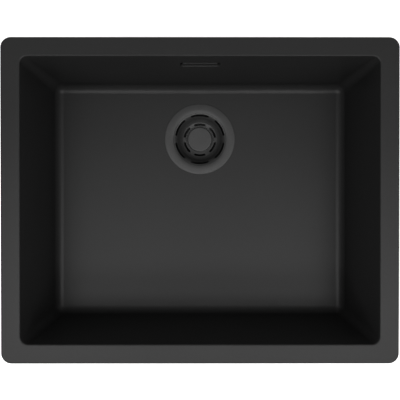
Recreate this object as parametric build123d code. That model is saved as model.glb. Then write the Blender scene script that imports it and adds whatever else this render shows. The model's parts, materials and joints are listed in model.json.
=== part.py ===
from build123d import *
import math
import os

# Driving dimensions, in millimetres and degrees.

# Bowl and rim.
BOWL_LENGTH = 500.0
BOWL_WIDTH = 400.0
BOWL_DEPTH = 200.0
WALL_LEAN = 14.0
WALL = 8.0
FLOOR = 10.0
FLOOR_FALL = 0.8
MOUTH_CORNER = 11.0
FOOT_CORNER = 14.5
FLOOR_FILLET = 13.0
MOUTH_EDGE = 3.0
RIM_WIDTH = 26.5
RIM_THICKNESS = 8.0
RIM_CORNER = 14.5
RIM_EDGE = 2.0
UNDER_RIM_FILLET = 4.0

# Seal between the rim and the worktop.
RIM_SEAL_THICKNESS = 2.0
RIM_SEAL_WIDTH = 6.0
RIM_SEAL_INSET = 1.5

# Worktop clamps.
CLAMP_SPAN = 165.0
CLAMP_INSET = 14.0
BLOCK_TOP = 24.0
BLOCK_HEIGHT = 12.0
BLOCK_NOSE = 5.0
BLOCK_ROOT = 20.0
M4_RADIUS = 2.0
M4_INSERT_RADIUS = 3.0
THREAD_CLEARANCE = 0.05
PIVOT_CLEARANCE = 0.08
CLAW_DROP = 56.0
CLAW_SHEET = 2.0
CLAW_WIDTH = 9.0
CLAW_EYE = 5.5
CLAW_RISE = 5.0
CLAW_REACH = 28.0
CLAW_TOOTH = 8.0
CLAW_NOTCH = 3.0
CLAW_BEND = 3.0
CLAMP_HEAD_RADIUS = 4.0
CLAMP_HEAD_HEIGHT = 2.8
CLAMP_SCREW_TAIL = 4.0

# Overflow in the back wall.
OVERFLOW_DEPTH = 50.5
OVERFLOW_LENGTH = 57.0
OVERFLOW_HEIGHT = 24.0
OVERFLOW_CORNER = 5.0
OVERFLOW_EDGE = 1.5
COVER_END_GAP = 3.0
COVER_SIDE_GAP = 6.0
COVER_THICKNESS = 3.0
COVER_PROUD = 1.2
COVER_EDGE = 1.0
PEG_SPACING = 34.0
PEG_RADIUS = 2.4
PEG_LENGTH = 18.0
PEG_GRIP = 6.0
PEG_CLEARANCE = 0.05
POST_RADIUS = 4.4
GASKET_THICKNESS = 2.0
HOUSING_SHEET = 2.0
HOUSING_FLANGE = 3.0
HOUSING_MARGIN = 1.5
HOUSING_DEPTH = 27.5
HOUSING_TOP_DEPTH = 8.5
HOUSING_KNEE_DEPTH = 11.5
HOUSING_SLOPE = 10.0
HOUSING_ROUND = 7.0
HOUSING_BEND = 3.4
HOUSING_EDGE = 2.0
EAR_SPACING = 80.0
EAR_RADIUS = 8.0
EAR_HEAD_RADIUS = 3.8
EAR_HEAD_HEIGHT = 2.4
INSERT_DEPTH = 5.5

# Overflow pipe and its unions.
SPIGOT_RADIUS = 11.0
SPIGOT_BORE = 8.0
SPIGOT_OUT = 15.5
SPIGOT_LENGTH = 20.0
WASHER_THICKNESS = 2.0
COLLAR_THICKNESS = 2.5
PIPE_RADIUS = 9.0
PIPE_SHEET = 1.5
PIPE_BEND = 26.0
NUT_RADIUS = 13.5
NUT_RIB_RADIUS = 1.0
NUT_RIBS = 16
NUT_LIP = 2.5
NUT_GRIP = 10.0
NUT_CLEARANCE = 0.2

# Waste: dish, seals and body.
DRAIN_SETBACK = 101.0
DRAIN_HOLE_RADIUS = 45.0
DRAIN_HOLE_EDGE = 4.0
DRAIN_BOSS_DROP = 3.0
DRAIN_BOSS_RIM = 4.0
FLANGE_RADIUS = 57.5
FLANGE_SHEET = 2.5
FLANGE_PROUD = 1.2
FLANGE_EDGE = 1.0
FLANGE_GAP = 0.3
FLANGE_SEAL = 1.5
FUNNEL_RADIUS = 10.0
CUP_RADIUS = 41.0
CUP_DEPTH = 34.0
CUP_ROUND = 6.0
SEAT_RADIUS = 22.0
HUB_RADIUS = 9.0
HUB_DROP = 1.5
SPOKE_WIDTH = 5.0
SPOKES = 3
BODY_SEAL = 2.5
BODY_RADIUS = 49.0
BODY_SHEET = 3.0
BODY_FLANGE = 4.0
BODY_HEIGHT = 41.5
BODY_CONE = 15.0
BODY_ROUND = 6.0
OUTLET_RADIUS = 23.9
OUTLET_SHEET = 3.4
OUTLET_LENGTH = 26.0
INLET_DROP = 44.0
INLET_REACH = 67.0
BODY_HUB_RADIUS = 8.0
BODY_HUB_HEIGHT = 14.0
BODY_RIB = 2.5

# Centre screw and its nut.
POST_SIZE = 4.0
POST_TOP = 17.0
SCREW_COLLAR_RADIUS = 7.0
SCREW_COLLAR = 2.5
M6_RADIUS = 3.0
NUT_FLATS = 10.0
NUT_HEIGHT = 5.0

# Basket.
BASKET_SHEET = 1.6
BASKET_GAP = 0.3
BASKET_LIP_DEPTH = 1.4
BASKET_SHOULDER = 37.6
BASKET_SHOULDER_DEPTH = 5.4
BASKET_HEEL = 34.0
BASKET_HEEL_DEPTH = 13.4
BASKET_FOOT = 28.5
BASKET_DEPTH = 17.4
BASKET_BEND = 4.0
SLOTS = 6
SLOT_ANGLE = 40.0
RIM_SLOT_RADIUS = 39.7
RIM_SLOT_WIDTH = 2.6
FLOOR_SLOT_RADIUS = 25.7
FLOOR_SLOT_WIDTH = 2.2
BASKET_BOSS = 4.5
KNOB_RADIUS = 20.4
KNOB_TOP = 3.4
KNOB_CAP = 5.0
KNOB_EDGE = 1.8
KNOB_NECK = 9.0
KNOB_BORE_DEPTH = 10.0
STEM_THREAD = 5.5
STEM_SHOULDER = 9.5
STEM_NECK = 7.5
STEM_CLEARANCE = 0.06
STOPPER_RADIUS = 26.0
STOPPER_SHEET = 2.0
STOPPER_SEAL_RADIUS = 27.5
STOPPER_SEAL = 3.5
STEM_NUT_RADIUS = 10.5
STEM_NUT_HEIGHT = 2.0
SEAL_BORE_GAP = 0.5
RING_SECTION = 0.9
RING_CLEARANCE = 0.05
RING_HEIGHT = 7.0

# Levels and lengths that follow from them. The worktop's top face is at height zero.
RIM_TOP = RIM_SEAL_THICKNESS + RIM_THICKNESS
FLOOR_LOW = RIM_TOP - BOWL_DEPTH
LEAN_PER_MM = WALL_LEAN / BOWL_DEPTH
LEAN_ANGLE = math.degrees(math.atan(LEAN_PER_MM))
RIM_LENGTH = BOWL_LENGTH + 2 * RIM_WIDTH
RIM_BREADTH = BOWL_WIDTH + 2 * RIM_WIDTH
WALL_NORMAL = WALL * math.cos(math.radians(LEAN_ANGLE))
RECESS_RADIUS = FLANGE_RADIUS + FLANGE_GAP
RECESS_DEPTH = FLANGE_SHEET + FLANGE_SEAL - FLANGE_PROUD
UNDERSIDE = FLOOR_LOW - FLOOR - DRAIN_BOSS_DROP
BODY_TOP = UNDERSIDE - BODY_SEAL
DISH_FLOOR = FLOOR_LOW - CUP_DEPTH
HUB_TOP = DISH_FLOOR - HUB_DROP
DRAIN_OFFSET = BOWL_WIDTH / 2 - DRAIN_SETBACK
FUNNEL_START = CUP_RADIUS + FUNNEL_RADIUS
FUNNEL_CENTRE = FLOOR_LOW + FLANGE_PROUD - FUNNEL_RADIUS
CONE_TOP = BODY_TOP - BODY_HEIGHT
CONE_FOOT = CONE_TOP - BODY_CONE
OUTLET_FOOT = CONE_FOOT - OUTLET_LENGTH
OUTLET_BORE = OUTLET_RADIUS - OUTLET_SHEET
BODY_HUB_TOP = CONE_FOOT + BODY_HUB_HEIGHT / 2
BODY_HUB_FOOT = BODY_HUB_TOP - BODY_HUB_HEIGHT
INLET_LEVEL = FLOOR_LOW - INLET_DROP
SEAL_TOP = DISH_FLOOR + STOPPER_SEAL
STOPPER_TOP = SEAL_TOP + STOPPER_SHEET
STEM_FOOT = SEAL_TOP - STEM_NUT_HEIGHT
BASKET_UNDER = FLOOR_LOW - BASKET_DEPTH - BASKET_SHEET / 2
BASKET_FLOOR = FLOOR_LOW - BASKET_DEPTH + BASKET_SHEET / 2
BOSS_TOP = BASKET_FLOOR + BASKET_BOSS
KNOB_CROWN = FLOOR_LOW - KNOB_TOP
STEM_BORE = POST_SIZE + STEM_CLEARANCE
GASKET_TOP = WALL_NORMAL + GASKET_THICKNESS
HOUSING_INNER_LENGTH = OVERFLOW_LENGTH + 2 * HOUSING_MARGIN
HOUSING_INNER_HEIGHT = OVERFLOW_HEIGHT + 2 * HOUSING_MARGIN
HOUSING_LENGTH = HOUSING_INNER_LENGTH + 2 * HOUSING_SHEET
HOUSING_HEIGHT = HOUSING_INNER_HEIGHT + 2 * HOUSING_SHEET
SPIGOT_END = HOUSING_HEIGHT / 2 + SPIGOT_LENGTH
CLAW_TOP = -CLAW_DROP
CLAW_SEAT = CLAW_TOP - CLAW_SHEET
BLOCK_FOOT = -BLOCK_TOP - BLOCK_HEIGHT

# Axes and planes.
DRAIN = Pos(0, DRAIN_OFFSET, 0)
OVERFLOW = Plane(
    origin=(0, BOWL_WIDTH / 2 - LEAN_PER_MM * OVERFLOW_DEPTH, RIM_TOP - OVERFLOW_DEPTH),
    x_dir=(-1, 0, 0),
    z_dir=(0, 1, -LEAN_PER_MM),
)
UPPER_UNION = Plane(
    origin=OVERFLOW.from_local_coords((0, -SPIGOT_END, WALL_NORMAL + SPIGOT_OUT)),
    x_dir=(1, 0, 0),
    z_dir=(0, -LEAN_PER_MM, -1),
)
LOWER_UNION = Plane(
    origin=(0, DRAIN_OFFSET + INLET_REACH, INLET_LEVEL),
    x_dir=(1, 0, 0),
    z_dir=(0, 1, 0),
)


def clamp_planes():
    """Plane of each clamp: X along the wall, Y out from the bowl, Z up."""
    side = RIM_LENGTH / 2 - CLAMP_INSET
    back = RIM_BREADTH / 2 - CLAMP_INSET
    places = [
        (-CLAMP_SPAN, back, (1, 0, 0)),
        (CLAMP_SPAN, back, (1, 0, 0)),
        (side, 0, (0, -1, 0)),
        (CLAMP_SPAN, -back, (-1, 0, 0)),
        (-CLAMP_SPAN, -back, (-1, 0, 0)),
        (-side, 0, (0, 1, 0)),
    ]
    return [Plane(origin=(x, y, 0), x_dir=along, z_dir=(0, 0, 1)) for x, y, along in places]


def ring(outer, inner, low, high):
    """Flat ring about Z between two heights."""
    return Pos(0, 0, low) * extrude(Circle(outer) - Circle(inner), high - low)


def disc(radius, low, high):
    """Plain cylinder about Z between two heights."""
    return Pos(0, 0, low) * extrude(Circle(radius), high - low)


def turned(points):
    """Solid of revolution about Z from a closed outline of radius and height."""
    return revolve(Plane.XZ * make_face(Polyline(*points, close=True)), Axis.Z)


def round_slots(radius, width, low, high):
    """Ring of arc slots between two heights, the first one towards the back."""
    arc = CenterArc((0, 0), radius, 90 - SLOT_ANGLE / 2, SLOT_ANGLE)
    slot = Pos(0, 0, low) * extrude(SlotArc(arc, width), high - low)
    return [Rot(0, 0, 360 / SLOTS * step) * slot for step in range(SLOTS)]


def bowl_section(height, outset):
    """Rounded rectangle of the bowl at one height, moved out by the outset."""
    share = (RIM_TOP - height) / BOWL_DEPTH
    out = 2 * (outset - WALL_LEAN * share)
    corner = MOUTH_CORNER + (FOOT_CORNER - MOUTH_CORNER) * share + outset
    return Plane.XY.offset(height) * RectangleRounded(BOWL_LENGTH + out, BOWL_WIDTH + out, corner)


def bowl_form(top, outset, drop):
    """Leaning bowl with a floor that falls to the drain and a rounded foot."""
    low = FLOOR_LOW - drop
    deep = low - FLOOR_FILLET
    reach = BOWL_LENGTH + BOWL_WIDTH
    rise = (reach - RECESS_RADIUS) * math.tan(math.radians(FLOOR_FALL))
    below = turned([(0, low), (RECESS_RADIUS, low), (reach, low + rise), (reach, deep - 1), (0, deep - 1)])
    form = loft([bowl_section(top, outset), bowl_section(deep, outset)], ruled=True) - DRAIN * below
    floor = max(form.faces().filter_by(GeomType.CONE), key=lambda face: face.area)
    return fillet(floor.outer_wire().edges(), FLOOR_FILLET + outset)


def rim_plate():
    """Flat rim with rounded outer edges."""
    plate = extrude(RectangleRounded(RIM_LENGTH, RIM_BREADTH, RIM_CORNER), RIM_THICKNESS)
    plate = fillet(plate.edges().group_by(Axis.Z)[-1], RIM_EDGE)
    plate = fillet(plate.edges().group_by(Axis.Z)[0], RIM_EDGE / 2)
    return Pos(0, 0, RIM_SEAL_THICKNESS) * plate


def bowl_outside():
    """Outer form of the bowl's walls and floor."""
    return bowl_form(RIM_TOP - RIM_THICKNESS / 2, WALL, FLOOR)


def clamp_block(plane, outside):
    """Block bonded to the wall's outer face; it holds the insert for one clamp screw."""
    middle = RIM_TOP + BLOCK_TOP + BLOCK_HEIGHT / 2
    depth = RIM_WIDTH - CLAMP_INSET - WALL / 2 + LEAN_PER_MM * middle
    root = Line((-BLOCK_ROOT / 2, -depth), (BLOCK_ROOT / 2, -depth))
    nose = CenterArc((0, 0), BLOCK_NOSE, 0, 180)
    outline = make_hull(root.edges() + nose.edges()) - Circle(M4_INSERT_RADIUS)
    return plane * (Pos(0, 0, BLOCK_FOOT) * extrude(outline, BLOCK_HEIGHT)) - outside


def overflow_cutters():
    """Overflow hole with a rounded inner edge and the two blind holes for its inserts."""
    hole = RectangleRounded(OVERFLOW_LENGTH, OVERFLOW_HEIGHT, OVERFLOW_CORNER)
    inside = offset(hole, 2 * OVERFLOW_EDGE)
    cutter = extrude(hole, 3 * WALL) + extrude(inside, -WALL)
    step = next(face for face in cutter.faces() if face.inner_wires())
    cutters = [OVERFLOW * fillet(step.inner_wires()[0].edges(), OVERFLOW_EDGE)]
    for side in (-1, 1):
        blind = disc(M4_INSERT_RADIUS, WALL_NORMAL - INSERT_DEPTH, WALL_NORMAL + 1)
        cutters.append(OVERFLOW * (Pos(side * EAR_SPACING / 2, 0, 0) * blind))
    return cutters


def mouth_edges(bowl):
    """Inner edges of the rim's top face."""
    top = bowl.faces().sort_by(Axis.Z)[-1]
    return top.inner_wires()[0].edges()


def under_rim_edges(bowl):
    """Edges where the outer wall meets the rim's underside."""
    flat = bowl.edges().filter_by_position(Axis.Z, RIM_SEAL_THICKNESS - 0.01, RIM_SEAL_THICKNESS + 0.01)
    inside_x = BOWL_LENGTH / 2 + WALL + 1
    inside_y = BOWL_WIDTH / 2 + WALL + 1
    return [edge for edge in flat if abs(edge.center().X) < inside_x and abs(edge.center().Y) < inside_y]


def drain_cutters():
    """Flange recess and the drain hole, whose upper edge is rounded."""
    seat = FLOOR_LOW - RECESS_DEPTH
    hole = turned(
        [
            (0, UNDERSIDE - 1),
            (DRAIN_HOLE_RADIUS, UNDERSIDE - 1),
            (DRAIN_HOLE_RADIUS, seat),
            (0, seat),
        ]
    )
    mouth = disc(DRAIN_HOLE_RADIUS + DRAIN_HOLE_EDGE, seat - DRAIN_HOLE_EDGE, seat)
    collar = Pos(0, 0, seat - DRAIN_HOLE_EDGE) * Torus(DRAIN_HOLE_RADIUS + DRAIN_HOLE_EDGE, DRAIN_HOLE_EDGE)
    recess = disc(RECESS_RADIUS, seat, FLOOR_LOW + FLANGE_SHEET)
    return [DRAIN * hole, DRAIN * (mouth - collar), DRAIN * recess]


def sink_bowl(outside):
    """One moulding: rim, walls, floor and drain seat."""
    bowl = rim_plate() + outside
    bowl = fillet(under_rim_edges(bowl), UNDER_RIM_FILLET)
    bowl += DRAIN * disc(RECESS_RADIUS + DRAIN_BOSS_RIM, UNDERSIDE, FLOOR_LOW - FLOOR / 2)
    bowl -= bowl_form(RIM_TOP + RIM_THICKNESS, 0, 0)
    bowl = fillet(mouth_edges(bowl), MOUTH_EDGE)
    bowl -= overflow_cutters()
    return bowl - drain_cutters()


def rim_seal():
    """Foam seal under the rim; its lower face lies on the worktop."""
    trim = 2 * RIM_SEAL_INSET
    outer = RectangleRounded(RIM_LENGTH - trim, RIM_BREADTH - trim, RIM_CORNER - RIM_SEAL_INSET)
    inner = offset(outer, -RIM_SEAL_WIDTH)
    return extrude(outer - inner, RIM_SEAL_THICKNESS)


def clamp_inserts():
    """Threaded inserts in the clamp blocks."""
    insert = ring(M4_INSERT_RADIUS, M4_RADIUS + THREAD_CLEARANCE, BLOCK_FOOT, -BLOCK_TOP)
    return [plane * insert for plane in clamp_planes()]


def clamp_screw(plane):
    """Flanged clamp screw that lifts one claw."""
    shank = disc(M4_RADIUS, CLAW_SEAT, CLAMP_SCREW_TAIL - BLOCK_TOP)
    head = disc(CLAMP_HEAD_RADIUS, CLAW_SEAT - CLAMP_HEAD_HEIGHT, CLAW_SEAT)
    head = fillet(head.edges().group_by(Axis.Z)[0], CLAMP_HEAD_HEIGHT / 2)
    return plane * (shank + head)


def clamp_claw(plane):
    """Cranked strip with an eye for the screw and a tooth that bites the worktop."""
    level = CLAW_TOP - CLAW_SHEET / 2
    arm = level + CLAW_RISE
    step = CLAW_EYE + 2 * CLAW_BEND
    path = FilletPolyline(
        (-CLAW_EYE, 0, level),
        (step - CLAW_RISE / 2, 0, level),
        (step + CLAW_RISE / 2, 0, arm),
        (CLAW_REACH, 0, arm),
        (CLAW_REACH, 0, arm + CLAW_TOOTH),
        radius=CLAW_BEND,
    )
    start = Plane(origin=(-CLAW_EYE, 0, level), x_dir=(0, 1, 0), z_dir=(1, 0, 0))
    strip = sweep(start * Rectangle(CLAW_WIDTH, CLAW_SHEET), path)
    strip = fillet(strip.edges().filter_by(Axis.Z).group_by(Axis.X)[0], CLAW_WIDTH / 3)
    strip -= disc(M4_RADIUS + PIVOT_CLEARANCE, CLAW_SEAT - 1, CLAW_TOP + 1)
    tip = Plane(origin=(CLAW_REACH, 0, arm + CLAW_TOOTH), x_dir=(0, 1, 0), z_dir=(1, 0, 0))
    notch = make_face(Polyline((-CLAW_NOTCH, 0), (0, -CLAW_NOTCH), (CLAW_NOTCH, 0), close=True))
    strip -= extrude(tip * notch, CLAW_SHEET, both=True)
    return plane * strip


def overflow_cover():
    """Slim plate in the overflow hole with two pegs that push into the housing."""
    front = RectangleRounded(
        OVERFLOW_LENGTH - 2 * COVER_END_GAP,
        OVERFLOW_HEIGHT - 2 * COVER_SIDE_GAP,
        OVERFLOW_CORNER - COVER_END_GAP,
    )
    plate = Pos(0, 0, -COVER_PROUD) * extrude(front, COVER_THICKNESS)
    plate = fillet(plate.edges().group_by(Axis.Z)[0], COVER_EDGE)
    peg = disc(PEG_RADIUS, 0, PEG_LENGTH)
    return OVERFLOW * (plate + [Pos(side * PEG_SPACING / 2, 0, 0) * peg for side in (-1, 1)])


def flange_outline():
    """Outline shared by the overflow gasket and the housing's flange."""
    ears = [Pos(side * EAR_SPACING / 2, 0) * Circle(EAR_RADIUS) for side in (-1, 1)]
    strap = Rectangle(EAR_SPACING, 2 * EAR_RADIUS)
    body = RectangleRounded(HOUSING_LENGTH + HOUSING_SHEET, HOUSING_HEIGHT + HOUSING_SHEET, HOUSING_ROUND)
    holes = [Pos(side * EAR_SPACING / 2, 0) * Circle(M4_RADIUS + PEG_CLEARANCE) for side in (-1, 1)]
    return body + strap + ears - holes


def housing_window():
    """Inner outline of the overflow housing."""
    return RectangleRounded(HOUSING_INNER_LENGTH, HOUSING_INNER_HEIGHT, OVERFLOW_CORNER + HOUSING_MARGIN)


def overflow_gasket():
    """Gasket between the housing's flange and the back wall."""
    gasket = extrude(flange_outline() - housing_window(), GASKET_THICKNESS)
    return OVERFLOW * (Pos(0, 0, WALL_NORMAL) * gasket)


def hood(length, inset):
    """Hood whose back slopes out below the worktop's edge, drawn in by the inset."""
    half = HOUSING_HEIGHT / 2
    deep = HOUSING_DEPTH - GASKET_THICKNESS
    side = make_face(
        Polyline(
            (0, -half),
            (0, half),
            (HOUSING_TOP_DEPTH, half),
            (HOUSING_KNEE_DEPTH, 0),
            (deep, -HOUSING_SLOPE),
            (deep, -half),
            close=True,
        )
    )
    if inset:
        side = offset(side, -inset, kind=Kind.INTERSECTION)
    else:
        side = fillet(side.vertices().filter_by_position(Axis.X, 1, HOUSING_DEPTH), HOUSING_BEND)
    across = Plane(origin=(0, 0, 0), x_dir=(0, 0, 1), z_dir=(-1, 0, 0))
    return extrude(across * side, length / 2, both=True)


def overflow_housing():
    """Hollow hood behind the wall with a spigot for the overflow pipe."""
    shell = hood(HOUSING_LENGTH, 0)
    for end in (shell.faces().sort_by(Axis.X)[0], shell.faces().sort_by(Axis.X)[-1]):
        shell = fillet(end.edges().filter_by_position(Axis.Z, 1, HOUSING_DEPTH), HOUSING_EDGE)
    shell += extrude(flange_outline(), HOUSING_FLANGE)
    posts_top = PEG_LENGTH - PEG_GRIP - GASKET_TOP
    post = disc(POST_RADIUS, posts_top, HOUSING_DEPTH)
    cavity = hood(HOUSING_INNER_LENGTH, HOUSING_SHEET) + extrude(housing_window(), HOUSING_FLANGE)
    shell -= cavity - [Pos(side * PEG_SPACING / 2, 0, 0) * post for side in (-1, 1)]
    socket = disc(PEG_RADIUS + PEG_CLEARANCE, 0, PEG_LENGTH - GASKET_TOP)
    shell -= [Pos(side * PEG_SPACING / 2, 0, 0) * socket for side in (-1, 1)]
    down = Plane(origin=(0, 0, SPIGOT_OUT - GASKET_THICKNESS), x_dir=(1, 0, 0), z_dir=(0, -1, 0))
    inside = HOUSING_INNER_HEIGHT / 2
    shell += down * disc(SPIGOT_RADIUS, inside, SPIGOT_END)
    shell -= down * disc(SPIGOT_BORE, inside - HOUSING_SHEET, SPIGOT_END + 1)
    return OVERFLOW * (Pos(0, 0, GASKET_TOP) * shell)


def overflow_screws():
    """Two screws that hold the housing's ears to the wall."""
    seat = GASKET_TOP + HOUSING_FLANGE
    screw = disc(M4_RADIUS, WALL_NORMAL - INSERT_DEPTH + M4_RADIUS / 2, seat)
    head = disc(EAR_HEAD_RADIUS, seat, seat + EAR_HEAD_HEIGHT)
    screw += fillet(head.edges().group_by(Axis.Z)[-1], EAR_HEAD_HEIGHT / 2)
    return [OVERFLOW * (Pos(side * EAR_SPACING / 2, 0, 0) * screw) for side in (-1, 1)]


def overflow_inserts():
    """Threaded inserts in the back wall."""
    insert = ring(M4_INSERT_RADIUS, M4_RADIUS + THREAD_CLEARANCE, WALL_NORMAL - INSERT_DEPTH, WALL_NORMAL)
    return [OVERFLOW * (Pos(side * EAR_SPACING / 2, 0, 0) * insert) for side in (-1, 1)]


def pipe_washer(union):
    """Flat washer between a spigot's end and the pipe's collar."""
    return union * ring(SPIGOT_RADIUS, SPIGOT_BORE, 0, WASHER_THICKNESS)


def union_nut(union):
    """Ribbed nut that draws the pipe's collar on to a spigot."""
    collar_back = WASHER_THICKNESS + COLLAR_THICKNESS
    nut = disc(NUT_RADIUS, -NUT_GRIP, collar_back + NUT_LIP)
    rib = Pos(NUT_RADIUS, 0, 0) * disc(NUT_RIB_RADIUS, -NUT_GRIP, collar_back)
    nut += [Rot(0, 0, 360 / NUT_RIBS * step) * rib for step in range(NUT_RIBS)]
    nut -= disc(SPIGOT_RADIUS + NUT_CLEARANCE, -NUT_GRIP - 1, collar_back)
    nut -= disc(PIPE_RADIUS + NUT_CLEARANCE, 0, collar_back + NUT_LIP + 1)
    return union * nut


def overflow_pipe():
    """Bent pipe with a collar at each end."""
    start = UPPER_UNION.from_local_coords((0, 0, WASHER_THICKNESS))
    end = LOWER_UNION.from_local_coords((0, 0, WASHER_THICKNESS))
    drop = start.Z - end.Z
    corner = (0, start.Y - drop * LEAN_PER_MM, end.Z)
    path = FilletPolyline(start, corner, end, radius=PIPE_BEND)
    mouth = Plane(origin=start, x_dir=(1, 0, 0), z_dir=UPPER_UNION.z_dir)
    pipe = sweep(mouth * Circle(PIPE_RADIUS), path)
    for union in (UPPER_UNION, LOWER_UNION):
        pipe += union * disc(SPIGOT_RADIUS, WASHER_THICKNESS, WASHER_THICKNESS + COLLAR_THICKNESS)
    return pipe - sweep(mouth * Circle(PIPE_RADIUS - PIPE_SHEET), path)


def flange_seal():
    """Seal under the dish's flange."""
    seat = FLOOR_LOW - RECESS_DEPTH
    return DRAIN * ring(FLANGE_RADIUS - FLANGE_EDGE, FUNNEL_START, seat, seat + FLANGE_SEAL)


def body_seal():
    """Seal between the bowl's underside and the waste body."""
    return DRAIN * ring(BODY_RADIUS + BODY_SHEET + BODY_FLANGE, BODY_RADIUS, BODY_TOP, UNDERSIDE)


def dish_shell():
    """Flange, funnel and cup of the dish, turned in one piece."""
    top = FLOOR_LOW + FLANGE_PROUD
    low = top - FLANGE_SHEET
    bend = FUNNEL_CENTRE
    outer = CUP_RADIUS + FLANGE_SHEET
    under = DISH_FLOOR - FLANGE_SHEET
    mid = math.sqrt(0.5)
    inner_bend = FUNNEL_RADIUS - FLANGE_SHEET
    outline = [
        Line((FLANGE_RADIUS, low), (FLANGE_RADIUS, top)),
        Line((FLANGE_RADIUS, top), (FUNNEL_START, top)),
        ThreePointArc(
            (FUNNEL_START, top),
            (FUNNEL_START - FUNNEL_RADIUS * mid, bend + FUNNEL_RADIUS * mid),
            (CUP_RADIUS, bend),
        ),
        Line((CUP_RADIUS, bend), (CUP_RADIUS, DISH_FLOOR)),
        Line((CUP_RADIUS, DISH_FLOOR), (SEAT_RADIUS, DISH_FLOOR)),
        Line((SEAT_RADIUS, DISH_FLOOR), (SEAT_RADIUS, under)),
        Line((SEAT_RADIUS, under), (outer, under)),
        Line((outer, under), (outer, bend)),
        ThreePointArc(
            (outer, bend),
            (FUNNEL_START - inner_bend * mid, bend + inner_bend * mid),
            (FUNNEL_START, low),
        ),
        Line((FUNNEL_START, low), (FLANGE_RADIUS, low)),
    ]
    face = make_face(outline)
    face = fillet(face.vertices().sort_by_distance((FLANGE_RADIUS, top))[0], FLANGE_EDGE)
    face = fillet(face.vertices().sort_by_distance((CUP_RADIUS, DISH_FLOOR))[0], CUP_ROUND)
    face = fillet(face.vertices().sort_by_distance((outer, under))[0], CUP_ROUND + FLANGE_SHEET)
    return revolve(Plane.XZ * face, Axis.Z)


def strainer_dish():
    """Dish with a spoked hub in its outlet for the centre screw."""
    dish = dish_shell()
    spoke_length = SEAT_RADIUS + SPOKE_WIDTH / 2
    spoke_under = DISH_FLOOR - FLANGE_SHEET
    spoke = Pos(spoke_length / 2, 0, spoke_under - HUB_DROP / 2) * Box(
        spoke_length, SPOKE_WIDTH, FLANGE_SHEET, align=(Align.CENTER, Align.CENTER, Align.MIN)
    )
    dish += [Rot(0, 0, 90 + 360 / SPOKES * step) * spoke for step in range(SPOKES)]
    dish += disc(HUB_RADIUS, HUB_TOP - FLANGE_SHEET, HUB_TOP)
    dish -= disc(HUB_RADIUS, HUB_TOP, DISH_FLOOR + 1)
    dish -= disc(M6_RADIUS + PIVOT_CLEARANCE, HUB_TOP - 2 * FLANGE_SHEET, HUB_TOP + 1)
    return DRAIN * dish


def waste_body():
    """Moulded body with an overflow inlet, an outlet spigot and a ribbed hub."""
    outer = BODY_RADIUS + BODY_SHEET
    lip = outer + BODY_FLANGE
    section = make_face(
        Polyline(
            (BODY_RADIUS, BODY_TOP),
            (lip, BODY_TOP),
            (lip, BODY_TOP - BODY_FLANGE),
            (outer, BODY_TOP - BODY_FLANGE),
            (outer, CONE_TOP),
            (OUTLET_RADIUS, CONE_FOOT),
            (OUTLET_RADIUS, OUTLET_FOOT),
            (OUTLET_BORE, OUTLET_FOOT),
            (OUTLET_BORE, CONE_FOOT + BODY_SHEET / 2),
            (BODY_RADIUS, CONE_TOP + BODY_SHEET / 2),
            close=True,
        )
    )
    section = fillet(section.vertices().sort_by_distance((outer, CONE_TOP))[0], BODY_ROUND)
    section = fillet(section.vertices().sort_by_distance((OUTLET_RADIUS, CONE_FOOT))[0], BODY_ROUND)
    body = revolve(Plane.XZ * section, Axis.Z)
    inlet = Plane(origin=(0, 0, INLET_LEVEL), x_dir=(1, 0, 0), z_dir=(0, 1, 0))
    body += inlet * disc(SPIGOT_RADIUS, BODY_RADIUS + BODY_SHEET / 2, INLET_REACH)
    body -= inlet * disc(SPIGOT_BORE, BODY_RADIUS - BODY_SHEET, INLET_REACH + 1)
    rib_length = OUTLET_BORE + OUTLET_SHEET / 2
    rib_middle = (BODY_HUB_TOP + BODY_HUB_FOOT) / 2
    rib = Pos(rib_length / 2, 0, rib_middle) * Box(rib_length, BODY_RIB, BODY_HUB_HEIGHT)
    body += [Rot(0, 0, 90 + 360 / SPOKES * step) * rib for step in range(SPOKES)]
    body += disc(BODY_HUB_RADIUS, BODY_HUB_FOOT, BODY_HUB_TOP)
    body -= disc(M6_RADIUS + PIVOT_CLEARANCE, BODY_HUB_FOOT - 1, BODY_HUB_TOP + 1)
    pocket = Pos(0, 0, BODY_HUB_FOOT) * extrude(nut_outline(), NUT_HEIGHT)
    return DRAIN * (body - pocket)


def nut_outline():
    """Hexagon across the centre nut's flats."""
    return RegularPolygon(NUT_FLATS / 2, 6, major_radius=False)


def centre_nut():
    """Hexagon nut held in the body's hub."""
    nut = Pos(0, 0, BODY_HUB_FOOT) * extrude(nut_outline(), NUT_HEIGHT)
    return DRAIN * (nut - disc(M6_RADIUS + THREAD_CLEARANCE, BODY_HUB_FOOT - 1, BODY_HUB_TOP))


def centre_screw():
    """Screw that clamps the dish to the body; its post guides the basket."""
    post = disc(POST_SIZE, HUB_TOP, FLOOR_LOW - POST_TOP)
    post = fillet(post.edges().group_by(Axis.Z)[-1], POST_SIZE / 3)
    post += disc(SCREW_COLLAR_RADIUS, HUB_TOP, HUB_TOP + SCREW_COLLAR)
    post += disc(M6_RADIUS, BODY_HUB_FOOT - M6_RADIUS / 2, HUB_TOP)
    return DRAIN * post


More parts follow.
